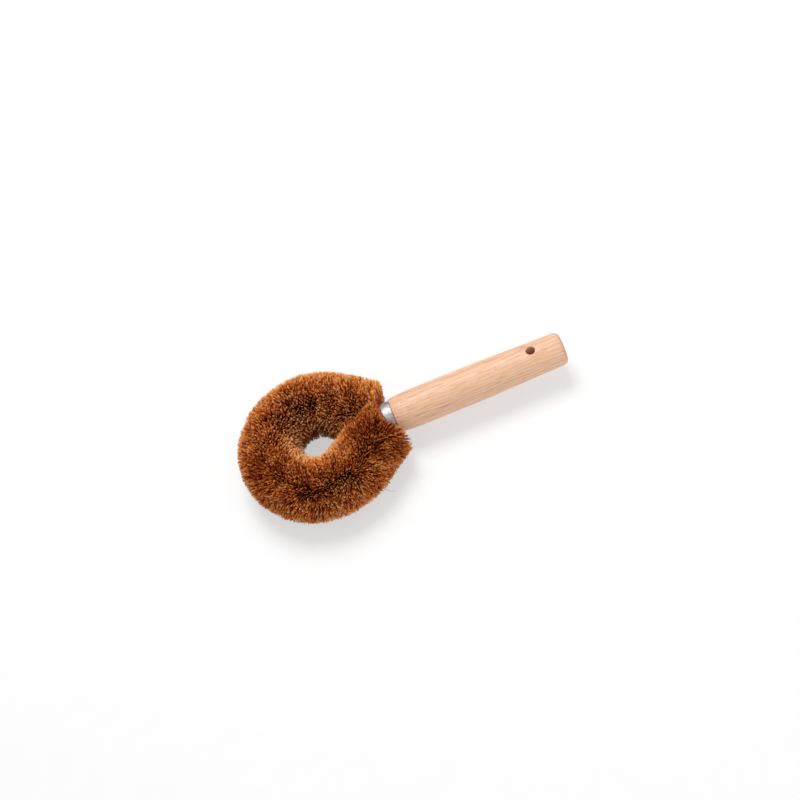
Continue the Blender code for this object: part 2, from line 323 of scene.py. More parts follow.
def fibre_material():
    """Palm fibre. Each fibre's kind sets its colour, and a painted shade darkens it towards the
    root.
    """
    made, tree, shader = new_material("palm_fibre")
    kind = add_node(tree, "ShaderNodeAttribute", attribute_name="fibre_kind").outputs["Fac"]
    along = add_node(tree, "ShaderNodeAttribute", attribute_name="fibre_along").outputs["Fac"]
    body = ramp(tree, kind, [(0.0, (0.075, 0.009, 0.003)), (0.22, (0.270, 0.037, 0.006)),
                             (0.50, (0.580, 0.107, 0.013)), (0.78, (0.770, 0.240, 0.036)),
                             (1.0, (0.830, 0.385, 0.125))])
    tip = ramp(tree, kind, [(0.0, (0.170, 0.024, 0.006)), (0.22, (0.460, 0.094, 0.015)),
                            (0.50, (0.790, 0.275, 0.044)), (0.78, (0.890, 0.465, 0.125)),
                            (1.0, (0.950, 0.645, 0.320))])
    to_tip = ramp(tree, along, [(0.0, 0.0), (0.76, 0.10), (0.90, 0.55), (1.0, 1.0)])
    # Painted shade: darker and redder towards the root, in place of the shade the fibres cast on
    # each other; a little lighter at the tip.
    root_shade = ramp(tree, along, [(0.0, (0.06, 0.04, 0.04)), (0.45, (0.35, 0.21, 0.19)),
                                    (0.72, (0.88, 0.66, 0.62)), (0.86, (1.05, 0.96, 0.94)),
                                    (1.0, (1.05, 1.06, 1.04))])
    where = placed(tree)
    blotch = ramp(tree, noise(tree, where, 420.0, 3.0), [(0.25, 0.80), (0.75, 1.12)])
    colour = mixed(tree, 1.0, mixed(tree, to_tip, body, tip), root_shade, "MULTIPLY")
    colour = mixed(tree, 1.0, colour, blotch, "MULTIPLY")
    tree.links.new(colour, shader.inputs["Base Color"])
    fine = noise(tree, where, 2600.0)
    tree.links.new(ramp(tree, fine, [(0.3, 0.42), (0.7, 0.66)]), shader.inputs["Roughness"])
    tree.links.new(bump(tree, fine, 0.3, 0.00006), shader.inputs["Normal"])
    shader.inputs["Specular IOR Level"].default_value = 0.14
    return made


def painted_shade_mat_material():
    """The tangle of fibre roots near the wires, painted near black as the shade deep among the
    fibres.
    """
    made, tree, shader = new_material("fibre_root_mat")
    strands = noise(tree, placed(tree), 1500.0, 4.0, 0.65, 1.2)
    colour = ramp(tree, strands, [(0.3, (0.020, 0.006, 0.003)), (0.52, (0.075, 0.022, 0.008)),
                                  (0.75, (0.200, 0.065, 0.020))])
    tree.links.new(colour, shader.inputs["Base Color"])
    tree.links.new(ramp(tree, strands, [(0.3, 0.85), (0.8, 0.60)]), shader.inputs["Roughness"])
    tree.links.new(bump(tree, strands, 0.8, 0.0006), shader.inputs["Normal"])
    shader.inputs["Specular IOR Level"].default_value = 0.2
    return made


def growth_layers(tree):
    """Tone of the growth layers, which run round a pith that lies beside the handle."""
    where = placed(tree, rotation=(0.5, 0.0, 0.0))
    split = add_node(tree, "ShaderNodeSeparateXYZ", {"Vector": where})
    across = maths(tree, "POWER", maths(tree, "ADD", split.outputs["Y"], 0.031), 2.0)
    upward = maths(tree, "POWER", maths(tree, "ADD", split.outputs["Z"], 0.012), 2.0)
    from_pith = maths(tree, "SQRT", maths(tree, "ADD", across, upward))
    wander = maths(tree, "MULTIPLY", grain(tree, (14.0, 60.0, 60.0), 3.0), 16.0)
    layers = maths(tree, "SINE", maths(tree, "MULTIPLY_ADD", from_pith, 2600.0, wander))
    return ramp(tree, maths(tree, "MULTIPLY_ADD", layers, 0.5, 0.5),
                [(0.0, (0.795, 0.505, 0.333)), (0.6, (0.765, 0.475, 0.307)),
                 (1.0, (0.700, 0.415, 0.258))])


def end_grain(tree, colour):
    """Change the colour to a darker speckle where the wood is cut across its grain."""
    normal = tree.nodes.new("ShaderNodeNewGeometry").outputs["Normal"]
    split = add_node(tree, "ShaderNodeSeparateXYZ", {"Vector": normal})
    facing = maths(tree, "ABSOLUTE", split.outputs["X"])
    share = ramp(tree, facing, [(0.45, 0.0), (0.9, 1.0)])
    speckle = grain(tree, (800.0, 2400.0, 2400.0))
    tone = mixed(tree, speckle, (0.330, 0.170, 0.092), (0.680, 0.420, 0.262))
    return mixed(tree, maths(tree, "MULTIPLY", share, 0.75), colour, tone)


def wood_material():
    """Pale beech with its grain along X: growth layers, dark flecks, fine pores, end grain."""
    made, tree, shader = new_material("pale_beech")
    broad = ramp(tree, grain(tree, (22.0, 150.0, 150.0), 3.0), [(0.45, 0.0), (0.70, 0.6)])
    colour = mixed(tree, broad, growth_layers(tree), (0.700, 0.445, 0.265))
    streak = grain(tree, (75.0, 1500.0, 1500.0), 2.5, 0.55)
    patchy = grain(tree, (45.0, 260.0, 260.0))
    flecks = maths(tree, "MULTIPLY", ramp(tree, streak, [(0.53, 0.0), (0.61, 1.0)]),
                   ramp(tree, patchy, [(0.40, 0.25), (0.54, 1.0)]))
    colour = mixed(tree, maths(tree, "MULTIPLY", flecks, 0.85), colour, (0.590, 0.275, 0.180))
    pale = grain(tree, (90.0, 1700.0, 1700.0), rotation=(1.1, 0.0, 0.0))
    colour = mixed(tree, ramp(tree, pale, [(0.55, 0.0), (0.75, 0.5)]), colour,
                   (0.860, 0.620, 0.440))
    pores = ramp(tree, grain(tree, (420.0, 5200.0, 5200.0)), [(0.62, 0.0), (0.74, 1.0)])
    colour = mixed(tree, maths(tree, "MULTIPLY", pores, 0.45), colour, (0.330, 0.165, 0.090))
    tree.links.new(end_grain(tree, colour), shader.inputs["Base Color"])
    dull = maths(tree, "MULTIPLY_ADD", grain(tree, (60.0, 200.0, 200.0), 3.0), 0.18, 0.38)
    rough = maths(tree, "MULTIPLY_ADD", flecks, 0.12, dull)
    tree.links.new(rough, shader.inputs["Roughness"])
    relief = bump(tree, streak, 0.22, 0.00025)
    relief = bump(tree, maths(tree, "SUBTRACT", 1.0, pores), 0.30, 0.00012, relief)
    tree.links.new(relief, shader.inputs["Normal"])
    shader.inputs["Specular IOR Level"].default_value = 0.4
    return made


def steel_material():
    """Bright drawn steel, its fine marks round the X axis, with dull patches and scratches."""
    made, tree, shader = new_material("bright_steel")
    marks = grain(tree, (9000.0, 260.0, 260.0), 3.0, 0.6)
    patch = noise(tree, placed(tree), 300.0, 1.5, 0.45)
    scratch = grain(tree, (700.0, 5200.0, 900.0), rotation=(0.7, 0.3, 0.5))
    scratches = ramp(tree, scratch, [(0.64, 0.0), (0.70, 1.0)])
    colour = ramp(tree, patch, [(0.3, (0.400, 0.405, 0.410)), (0.7, (0.600, 0.600, 0.595))])
    colour = mixed(tree, maths(tree, "MULTIPLY", scratches, 0.5), colour, (0.82, 0.82, 0.82))
    tree.links.new(colour, shader.inputs["Base Color"])
    rough = maths(tree, "MULTIPLY_ADD", patch, 0.24, 0.40)
    rough = maths(tree, "MULTIPLY_ADD", marks, 0.12, rough)
    tree.links.new(rough, shader.inputs["Roughness"])
    relief = bump(tree, patch, 0.70, 0.0008)
    relief = bump(tree, marks, 0.14, 0.00006, relief)
    tree.links.new(relief, shader.inputs["Normal"])
    shader.inputs["Metallic"].default_value = 1.0
    return made


def wire_material():
    """Galvanised wire: grey zinc with pale and dark patches."""
    made, tree, shader = new_material("galvanised_wire")
    where = placed(tree)
    spangle = noise(tree, where, 900.0, 3.0, 0.6)
    colour = ramp(tree, spangle, [(0.3, (0.360, 0.365, 0.370)), (0.7, (0.620, 0.620, 0.610))])
    tree.links.new(colour, shader.inputs["Base Color"])
    tree.links.new(ramp(tree, spangle, [(0.3, 0.34), (0.7, 0.52)]), shader.inputs["Roughness"])
    drawn = noise(tree, where, 5000.0)
    tree.links.new(bump(tree, drawn, 0.2, 0.00008), shader.inputs["Normal"])
    shader.inputs["Metallic"].default_value = 1.0
    return made


# Palm fibre

# A fibre's turn round the core is 0 where it points outwards in the plane of the ring, and a
# quarter turn where it points up. The near arm lies at -Y, next to the camera, and the far
# arm at +Y.
chance = np.random.default_rng(11)
fibres_per_slice = 5000
fibre_sides = 3
fibre_root_radius = 0.00021
fibre_tip_radius = 0.000135
fibre_width_shares = (0.75, 1.20)
path_shares = np.array([0.0, 0.32, 0.62, 0.86, 1.0])
fibre_root_place = 0.0078
fibre_root_spread = 0.0012
bend_share = 0.55
bend_spread = 0.00022
lowest_z = -core_height + 0.0002
highest_z = fibre_radius + 0.0010
cut_spread = 0.00035

# Fibre that fills the space before the ferrule points anywhere but outwards
fill_end = arc_length + arm_length
fill_density = 0.8
fill_root_place = pair_radius + 0.0004
fill_turns = (math.radians(25), math.radians(335))

# Lean along the core and turn round it: in waves, of each fibre, and at the cord's two ends
wave_lengths = (0.009, 0.040)
most_wave_turns = 6
wave_lean = math.radians(2.3)
own_lean = math.radians(2.2)
wave_turn = math.radians(2.0)
own_turn = math.radians(1.6)
near_end_lean = math.radians(-10.0)
near_end_run = 0.0140
far_end_lean = math.radians(2.5)
far_end_run = 0.0100

# Reach from the core, what the fibres fall short of it, and the ones cut short or left long
reach_spread = 0.010
reach_wave = 0.00022
near_arm_swell = 0.0017
near_arm_swell_run = (arc_length - 0.0100, arc_length + 0.0020)
mean_shortfall = 0.0012
outer_side_gain = 0.0006
squeezed_shortfall = 0.0016
most_shortfall = 0.0070
squeezed_short_share = 0.50
shaded_short_share = 0.35
short_fibre_cuts = (0.0025, 0.0055)
long_fibre_share = 0.005
long_fibre_gains = (0.0005, 0.0022)

# Tufts: how far apart they are, and how their tips are drawn together, aside and inwards
tuft_spacing = 0.0016
tuft_pulls = (0.35, 0.82)
loose_share = 0.20
loose_pull = 0.2
tuft_shift = 0.00035
mean_sink = 0.0007
sink_deadband = 0.0004
most_sink = 0.0025
tip_spread = 0.00026

# The seam between the arms: its places along X, and how far it lies from the brush's middle
# plane towards +Y. Fibre that meets the other arm rises or falls by a share of what it gives way.
seam_places = (0.0150, 0.0280, 0.0330, 0.0400, 0.0470)
seam_shifts = (0.0010, 0.0018, -0.0015, 0.0002, 0.0025)
seam_gap = 0.0003
seam_spread = 0.0007
seam_rise_share = 0.5
seam_level = 0.002

# How far past the ferrule's front the tips of each arm may reach, by their distance from the
# brush's middle plane. A seen width is that distance less what height takes from it in the
# photograph.
near_widths = (0.0120, 0.0210, 0.0260)
near_width_reaches = (0.0008, 0.0110, 0.0145)
near_seen_widths = (0.0012, 0.0036, 0.0060, 0.0120)
near_seen_reaches = (0.0008, 0.0052, 0.0070, 0.0105)
far_seen_widths = (0.0120, 0.0176, 0.0218, 0.0280)
far_seen_reaches = (0.0008, 0.0080, 0.0067, 0.0092)
no_limit = 1.0
seen_share_of_height = 0.64
front_spread = 0.0010

# Paths of the fibres keep off the ferrule's front and off its side
ferrule_front_gap = 0.0004
ferrule_front_spread = 0.0015
ferrule_side_gap = 0.0005
ferrule_side_spread = 0.0004

# Three stray fibres: where on the core they start, and where they bend and end
stray_lengths = (-0.0800, 0.0460, 0.1010)
stray_bends = ((0.0280, -0.0490, -0.0070), (0.0075, 0.0500, 0.0050), (0.0455, 0.0250, 0.0090))
stray_tips = ((0.0396, -0.0514, -0.0120), (0.0076, 0.0580, 0.0105), (0.0489, 0.0318, 0.0140))
stray_kind = 0.85

# The bake map has the kind across and the share of the length upwards. Every fibre is a narrow
# strip in it, with one end cap at its foot and one at its top.
map_margin_across = 0.01
map_margin_upwards = 0.003
map_side_width = 0.004
map_tube_height = 0.94
map_cap_sides = (-1.0, 1.0, 0.0)
map_root_cap = (0.0, 0.0, 0.015)
map_tip_cap = (0.97, 0.97, 0.995)

# Painted light: the cord's two ends are painted lit all along the fibres: how strongly, and over
# which distances
end_light = 0.55
end_light_run = (0.0048, 0.0008)

# The tangle of fibre roots round the wires
mat_rings = 170
mat_sides = 40
mat_place = fibre_root_place + 0.0006
mat_unevenness = 0.0006


def fade(value, none, full):
    """A share that grows evenly from 0 where the value is none to 1 where it is full."""
    return np.clip((value - none) / (full - none), 0, 1)


def wavy(length, turn, waves=9):
    """A smooth random field over the cord, about one in size, from waves of random length."""
    total = np.zeros(len(length))
    for _ in range(waves):
        run = 2 * math.pi / chance.uniform(*wave_lengths)
        whole_turns = chance.integers(-most_wave_turns, most_wave_turns + 1)
        total += np.sin(run * length + whole_turns * turn + chance.uniform(0, 2 * math.pi))
    return total * math.sqrt(2 / waves)


# Steps from a cell of the tufts' grid to itself and to the cells round it
neighbour_cells = [(x, y, z) for x in (-1, 0, 1) for y in (-1, 0, 1) for z in (-1, 0, 1)]


def is_free(tip, cell, cells, tips):
    """Whether no tuft centre in the cells round this tip is nearer than the tuft spacing."""
    for step in neighbour_cells:
        for other in cells.get((cell[0] + step[0], cell[1] + step[1], cell[2] + step[2]), ()):
            away = tips[other] - tip
            if away @ away < tuft_spacing ** 2:
                return False
    return True


def tuft_centres(tips):
    """Numbers of fibres that are no nearer to each other than the tuft spacing."""
    cells = {}
    centres = []
    for number in chance.permutation(len(tips)):
        tip = tips[number]
        cell = tuple(np.floor(tip / tuft_spacing).astype(int))
        if is_free(tip, cell, cells, tips):
            cells.setdefault(cell, []).append(number)
            centres.append(number)
    return np.array(centres)


def tuft_means(points, tuft, tufts):
    """The mean of the points in each tuft."""
    members = np.maximum(np.bincount(tuft, minlength=tufts), 1)
    return np.stack([np.bincount(tuft, points[:, axis], tufts) / members for axis in range(3)],
                    axis=-1)


def gather(tips):
    """For each fibre the number of its tuft, and for each tuft the middle of its tips."""
    centres = tuft_centres(tips)
    tree = kdtree.KDTree(len(centres))
    for number, centre in enumerate(centres):
        tree.insert(tips[centre], number)
    tree.balance()
    tuft = np.array([tree.find(tip)[1] for tip in tips])
    return tuft, tuft_means(tips, tuft, len(centres))


def spread_fibres():
    """The fibres with their places along the core and round it, and the pieces they are in."""
    count = fibres_per_slice * slice_count
    whole = near_fibre_length + far_fibre_length
    length = -near_fibre_length + whole * (np.arange(count) + chance.uniform(0, 1, count)) / count
    turn = chance.uniform(0, 2 * math.pi, count)
    for end, side in ((near_fibre_length, -1.0), (far_fibre_length, 1.0)):
        extra = fill_end - end
        added = int(count / whole * extra * fill_density)
        length = np.append(length, side * (end + extra * chance.uniform(0, 1, added)))
        turn = np.append(turn, chance.uniform(*fill_turns, added))
    filling = np.arange(len(length)) >= count
    piece = (length + near_fibre_length) / whole * slice_count
    piece = np.clip(piece, 0, slice_count - 1).astype(int)
    piece[filling] = np.where(length[filling] < 0, slice_count, slice_count + 1)
    point, forward, outward = core_line(length)
    return SimpleNamespace(count=len(length), length=length, turn=turn, filling=filling,
                           piece=piece, point=point, forward=forward, outward=outward,
                           side=np.sign(point[:, 1]))


def aim(fibre):
    """Turn the fibres a little, and lean them along the core, less where the ring crowds them."""
    crowded = np.minimum(1.0, 1 + fibre_radius * np.cos(fibre.turn) / core_ring_radius)
    crowding = np.where(np.abs(fibre.length) < arc_length, crowded, 1.0)
    lean = wavy(fibre.length, fibre.turn) * wave_lean + chance.normal(0, own_lean, fibre.count)
    lean *= crowding
    fibre.turn = (fibre.turn + wavy(fibre.length, fibre.turn) * wave_turn
                  + chance.normal(0, own_turn, fibre.count))
    fibre.from_near_end = near_fibre_length + fibre.length
    fibre.from_far_end = far_fibre_length - fibre.length
    lean += near_end_lean * fade(fibre.from_near_end, near_end_run, 0)
    lean += far_end_lean * fade(fibre.from_far_end, far_end_run, 0)
    upright = np.array([0.0, 0.0, 1.0])
    fibre.radial = (fibre.outward * np.cos(fibre.turn)[:, None]
                    + upright * np.sin(fibre.turn)[:, None])
    fibre.direction = fibre.radial + fibre.forward * np.tan(lean)[:, None]
    fibre.squeezed = fade(1 / np.maximum(crowding, 0.1), 1.0, 3.5)


def sort_by_place(fibre):
    """Shares that tell the fibres of the outer side, the shaded side and those seen end on."""
    core_y = fibre.point[:, 1]
    fibre.outwards = np.clip(np.cos(fibre.turn), 0, 1)
    fibre.outer_side = fibre.outwards * fade(core_y, -0.012, 0.018)
    fibre.shaded = fade(fibre.radial[:, 1], 0.35, -0.65) * fade(core_y, 0, 0.020)
    fibre.end_on = np.clip(2.2 * fibre.squeezed + fibre.shaded, 0, 1)


def stretch(fibre):
    """Give each fibre its reach, and with it its root and its tip."""
    reach = fibre_radius * (1 - np.abs(chance.normal(0, reach_spread, fibre.count)))
    reach += wavy(fibre.length, fibre.turn) * reach_wave
    reach += near_arm_swell * fade(-fibre.length, *near_arm_swell_run) * fibre.outwards
    shortfall = chance.exponential(mean_shortfall - outer_side_gain * fibre.outer_side
                                   + squeezed_shortfall * fibre.squeezed)
    reach -= np.minimum(shortfall, most_shortfall)
    short_share = squeezed_short_share * fibre.squeezed + shaded_short_share * fibre.shaded
    short = chance.uniform(0, 1, fibre.count) < short_share
    reach[short] -= chance.uniform(*short_fibre_cuts, short.sum())
    long = chance.uniform(0, 1, fibre.count) < long_fibre_share
    reach[long] += chance.uniform(*long_fibre_gains, long.sum())
    root_place = (np.where(fibre.filling, fill_root_place, fibre_root_place)
                  + chance.uniform(0, fibre_root_spread, fibre.count))
    fibre.reach = reach
    fibre.root = fibre.point + fibre.radial * root_place[:, None]
    fibre.tip = fibre.point + fibre.direction * reach[:, None]


def draw_into_tufts(fibre):
    """Pull the tips of each tuft together, a little aside and inwards."""
    fibre.tuft, middle = gather(fibre.tip)
    fibre.tufts = len(middle)
    pull = chance.uniform(*tuft_pulls, fibre.tufts)[fibre.tuft]
    pull[chance.uniform(0, 1, fibre.count) < loose_share] *= loose_pull
    pull *= 1 - 0.25 * fibre.outer_side
    fibre.pull = 1 - (1 - pull) * (1 - 0.6 * fibre.end_on)
    middle = middle + chance.normal(0, tuft_shift, (fibre.tufts, 3))
    sink = np.maximum(chance.exponential(mean_sink, fibre.tufts) - sink_deadband, 0.0)
    fibre.sink = np.minimum(sink, most_sink)[fibre.tuft] * (1 - 0.4 * fibre.outer_side)
    fibre.tip = (fibre.tip + (middle[fibre.tuft] - fibre.tip) * fibre.pull[:, None]
                 - fibre.radial * fibre.sink[:, None])
    fibre.tip += chance.normal(0, tip_spread, (fibre.count, 3))


def part_arms(fibre):
    """Turn fibre up or down where the two arms press on each other, at the seam."""
    tip = fibre.tip
    seam = np.interp(tip[:, 0], seam_places, seam_shifts)
    least = chance.normal(seam_gap, seam_spread, fibre.count) + fibre.side * seam
    beyond = np.maximum(least - fibre.side * tip[:, 1], 0.0) * (fibre.point[:, 0] > 0)
    rise = np.where(np.abs(tip[:, 2]) < seam_level, chance.choice([-1.0, 1.0], fibre.count),
                    np.sign(tip[:, 2]))
    tip[:, 1] += fibre.side * beyond
    tip[:, 2] += rise * seam_rise_share * beyond


def clear_ferrule(fibre):
    """Hold the tips back from the ferrule and the handle, and within their reach."""
    tip = fibre.tip
    width = np.abs(tip[:, 1])
    near_seen = width - seen_share_of_height * np.abs(tip[:, 2])
    far_seen = width + seen_share_of_height * np.minimum(tip[:, 2], 0)
    near_most = np.minimum(
        np.interp(width, near_widths, near_width_reaches),
        np.interp(near_seen, near_seen_widths, near_seen_reaches, right=no_limit))
    far_most = np.interp(far_seen, far_seen_widths, far_seen_reaches)
    most = ferrule_x + np.where(fibre.side < 0, near_most, far_most)
    most -= np.abs(chance.normal(0, front_spread, fibre.count))
    tip[:, 0] = np.minimum(tip[:, 0], most)
    away = tip - fibre.point
    share = np.minimum(1.0, fibre.reach / np.linalg.norm(away, axis=1))
    fibre.tip = fibre.point + away * share[:, None]


def cut_flat(fibre):
    """Cut the fibre that goes below the face on which the ring lies."""
    foot = lowest_z + chance.uniform(0, cut_spread, fibre.count)
    drop = np.maximum(fibre.root[:, 2] - fibre.tip[:, 2], 1e-9)
    share = np.where(fibre.tip[:, 2] < foot, (fibre.root[:, 2] - foot) / drop, 1.0)
    fibre.tip = fibre.root + (fibre.tip - fibre.root) * share[:, None]


def bend(fibre):
    """Paths from root to tip over a bend, with the bends of a tuft drawn together."""
    ahead = np.linalg.norm(fibre.tip - fibre.root, axis=1)[:, None]
    middle = (fibre.root + fibre.radial * ahead * bend_share
              + chance.normal(0, bend_spread, (fibre.count, 3)))
    together = tuft_means(middle, fibre.tuft, fibre.tufts)[fibre.tuft]
    middle += (together - middle) * fibre.pull[:, None] * 0.6

    strays = [int(np.argmin(np.abs(fibre.length - place))) for place in stray_lengths]
    fibre.tip[strays] = stray_tips
    towards = unit(fibre.tip[strays] - fibre.point[strays])
    fibre.root[strays] = fibre.point[strays] + towards * fibre_root_place
    middle[strays] = stray_bends
    fibre.strays = strays

    share = path_shares[None, :, None]
    fibre.path = (fibre.root[:, None] * (1 - share) ** 2
                  + middle[:, None] * 2 * share * (1 - share) + fibre.tip[:, None] * share ** 2)


def push_off_ferrule(fibre):
    """Start the paths before the ferrule's front, and lead them round it and the handle."""
    path = fibre.path
    front = ferrule_x - ferrule_front_gap
    first_x = front - chance.uniform(0, ferrule_front_spread, fibre.count)
    path[:, :2, 0] = np.minimum(path[:, :2, 0], first_x[:, None])
    room = ferrule_radius + ferrule_side_gap
    room = room + chance.uniform(0, ferrule_side_spread, fibre.count)[:, None]
    from_axis = np.hypot(path[:, :, 1], path[:, :, 2])
    inside = (path[:, :, 0] > front) & (from_axis < room)
    push = np.where(inside, room / np.maximum(from_axis, 1e-6), 1.0)
    path[:, :, 1:] *= push[:, :, None]
    path[:, :, 2] = np.clip(path[:, :, 2], lowest_z, highest_z)


def kind_by_place(fibre):
    """What a fibre's place adds to its kind: pale places above zero, dark ones below. Parts of it
    are painted light and painted shade.
    """
    x, y = fibre.tip[:, 0], fibre.tip[:, 1]
    core_x, core_y = fibre.point[:, 0], fibre.point[:, 1]
    near = fibre.side < 0
    eye = fade(np.hypot(x, y), 0.025, 0.014)
    left_of_eye = fade(x, 0, -0.012) * eye
    rim = fade(np.cos(fibre.turn), 0.5, 1.0)
    # Painted light: the far side, towards +Y, is paler where the light falls on it.
    far_edge_painted_light = fade(y, 0, 0.050)
    # Painted light: the middle of the near curve is paler.
    near_curve_painted_light = fade(core_y, 0, -0.020) * fade(np.abs(core_x - 0.010), 0.020, 0)
    # Painted shade: the left curve is darker, on the side away from the light.
    left_curve_painted_shade = fade(core_x, -0.022, -0.032) * fade(core_y, 0.012, 0)
    arm = fade(core_x, 0.022, 0.038)
    near_arm_edge = fade(y, -0.024, -0.034) * fade(x, 0.022, 0.032)
    # Painted shade: the near arm's tips are darker at the seam, in the shade between the two arms.
    seam_painted_shade = near * fade(y, -0.014, 0) * fade(x, 0.034, 0.044)
    return (0.50 * eye + 0.18 * left_of_eye + 0.12 * rim + 0.15 * far_edge_painted_light
            + 0.12 * near_curve_painted_light - 0.09 * left_curve_painted_shade + arm * np.where(near, -0.16, 0.08)
            - 0.14 * near_arm_edge - 0.08 * seam_painted_shade
            # Painted shade: darker on the shaded side and where tufts sink in.
            + 0.20 * fibre.end_on - 0.14 * fibre.shaded - 30.0 * fibre.sink)


def choose_kinds(fibre):
    """Each fibre's kind, from 0 for dark to 1 for pale: by tuft, by chance and by place."""
    kind = 0.47 + chance.normal(0, 0.18, fibre.tufts)[fibre.tuft]
    kind += chance.normal(0, 0.13, fibre.count)
    kind += 0.34 * (chance.uniform(0, 1, fibre.count) < 0.09)
    kind += chance.normal(0, 0.26, fibre.count) * np.maximum(fibre.squeezed, fibre.shaded)
    kind += wavy(fibre.length, fibre.turn) * 0.05
    kind += kind_by_place(fibre)
    kind[fibre.strays] = stray_kind
    fibre.kind = np.clip(kind, 0.02, 0.98)


def grow_fibres():
    """All the fibres, with their paths and kinds. Each step draws its random numbers in turn."""
    fibre = spread_fibres()
    aim(fibre)
    sort_by_place(fibre)
    stretch(fibre)
    draw_into_tufts(fibre)
    part_arms(fibre)
    clear_ferrule(fibre)
    cut_flat(fibre)
    bend(fibre)
    push_off_ferrule(fibre)
    choose_kinds(fibre)
    return fibre


def fibre_corners(fibre):
    """Corners of the fibres' tubes. Each tube is spun by its own angle and has its own width."""
    spin = (3 * fibre.turn)[:, None]
    beside = (fibre.forward * np.cos(spin)
              + np.cross(fibre.radial, fibre.forward) * np.sin(spin))
    width = chance.uniform(*fibre_width_shares, fibre.count) * (1 + 0.3 * fibre.squeezed)
    taper = fibre_root_radius + (fibre_tip_radius - fibre_root_radius) * path_shares
    return tube_corners(fibre.path, taper * width[:, None], fibre_sides, beside[:, None])


def fibre_shades(fibre):
    """The painted shade of each ring of a fibre: dark at 0, pale at 1.

    Short fibres keep the painted shade to their tips, fibres seen end on are painted dark for
    longer, and those at the cord's ends are painted lit from root to tip.
    """
    full = fade(np.linalg.norm(fibre.tip - fibre.point, axis=1), fibre_root_place, fibre_radius)
    along = path_shares ** (1 + 1.4 * fibre.end_on[:, None]) * full[:, None]
    from_end = np.minimum(fibre.from_near_end, fibre.from_far_end)[:, None]
    lit = end_light * fade(from_end, *end_light_run)
    return lit + (1 - lit) * along


def fibre_faces():
    """Corner numbers of one tube's sides and caps, and its sides' places in the bake map."""
    step, here = np.divmod(np.arange((len(path_shares) - 1) * fibre_sides), fibre_sides)
    there = (here + 1) % fibre_sides
    low = step * fibre_sides
    high = low + fibre_sides
    quads = np.stack([low + here, low + there, high + there, high + here], axis=-1)
    across = np.stack([here, here + 1, here + 1, here], axis=-1) - fibre_sides / 2
    ring = np.stack([step, step, step + 1, step + 1], axis=-1)
    first = np.arange(fibre_sides)
    caps = np.stack([first[::-1], first + (len(path_shares) - 1) * fibre_sides])
    return quads, caps, across.ravel(), ring.ravel()


def mark_fibres(mesh, kind, along, across, ring):
    """Give a mesh the kinds and shades that its material reads, and the bake map over them."""
    points = len(path_shares) * fibre_sides
    kinds = mesh.attributes.new("fibre_kind", "FLOAT", "POINT")
    kinds.data.foreach_set("value", np.repeat(kind, points).astype(np.float32))
    shades = mesh.attributes.new("fibre_along", "FLOAT", "POINT")
    point_shades = np.repeat(along, fibre_sides, axis=1)
    shades.data.foreach_set("value", point_shades.astype(np.float32).ravel())
    sideways = np.concatenate([across, map_cap_sides, map_cap_sides]) * map_side_width
    map_x = map_margin_across + (1 - 2 * map_margin_across) * (kind[:, None] + sideways)
    upwards = np.concatenate([map_tube_height * along[:, ring],
                              np.tile(map_root_cap + map_tip_cap, (len(kind), 1))], axis=1)
    map_y = map_margin_upwards + (1 - map_margin_upwards) * upwards
    places = np.stack([map_x, map_y], axis=-1)
    layer = mesh.uv_layers.new(name="OFBake", do_init=False)
    layer.uv.foreach_set("vector", places.astype(np.float32).ravel())


def fibre_pieces(finish):
    """The loose fibre: a piece for each slice of the cord, and one for the fill of each arm."""
    fibre = grow_fibres()
    corners = fibre_corners(fibre)
    along = fibre_shades(fibre)
    quads, caps, across, ring = fibre_faces()
    one = np.concatenate([quads.ravel(), caps.ravel()])
    one_sizes = np.repeat([4, 3], [len(quads), len(caps)])
    pieces = [(f"palm_fibre_{number:02d}", (f"fibre_slice_{number:02d}",))
              for number in range(1, slice_count + 1)]
    pieces += [("palm_fibre_front_near", ()), ("palm_fibre_front_far", ())]
    for number, (name, nodes) in enumerate(pieces):
        mine = fibre.piece == number
        count = int(mine.sum())
        offsets = np.arange(count)[:, None] * len(path_shares) * fibre_sides
        sizes = np.tile(one_sizes, count)
        mesh = mesh_from(name, corners[mine].reshape(-1, 3), (one + offsets).ravel(), sizes)
        mark_fibres(mesh, fibre.kind[mine], along[mine], across, ring)
        flat = mesh.attributes.new("sharp_face", "BOOLEAN", "FACE")
        flat.data.foreach_set("value", sizes == 3)
        add_piece(name, mesh, finish, nodes)


def root_mat(finish):
    """The tangle round the wires, painted dark as shade, which closes the view between the fibres.
    """
    length = np.linspace(-near_fibre_length, far_fibre_length, mat_rings)
    point, _, outward = core_line(length)
    turn = 2 * math.pi * np.arange(mat_sides) / mat_sides
    ray = outward[:, None] * np.cos(turn)[None, :, None]
    ray[:, :, 2] += np.sin(turn)
    uneven = chance.uniform(-mat_unevenness, mat_unevenness, (mat_rings, mat_sides))
    outer = point[:, None] + ray * (mat_place + uneven)[:, :, None]
    inner = point[:, None] + ray * (pair_radius + seat_gap)
    rings = np.concatenate([outer, inner[::-1]])
    mesh = ring_grid("fibre_root_mat", rings[::-1], True)
    add_piece("fibre_root_mat", smooth(mesh, 60), finish)


# Core wires, ferrule and handle

# How finely each shape is divided along its length and round it
wire_rings = 700
wire_sides = 14
ferrule_sides = 128
handle_sides = 144
handle_rings = 90
drill_sides = 64


def core_wire(name, node, start_turn, finish):
    """One of the two wires that are twisted on each other, from end to end."""
    length = np.linspace(-wire_half_length, wire_half_length, wire_rings)
    point, _, outward = core_line(length)
    turn = 2 * math.pi * length / wire_twist_pitch + start_turn
    path = point + outward * (np.cos(turn) * wire_offset)[:, None]
    path[:, 2] += np.sin(turn) * wire_offset
    beside = np.array([[[0.0, 0.0, 1.0]]])
    radii = np.full((1, wire_rings), wire_radius)
    rings = tube_corners(path[None], radii, wire_sides, beside)[0]
    add_piece(name, smooth(ring_grid(name, rings, False), 50), finish, (node,))


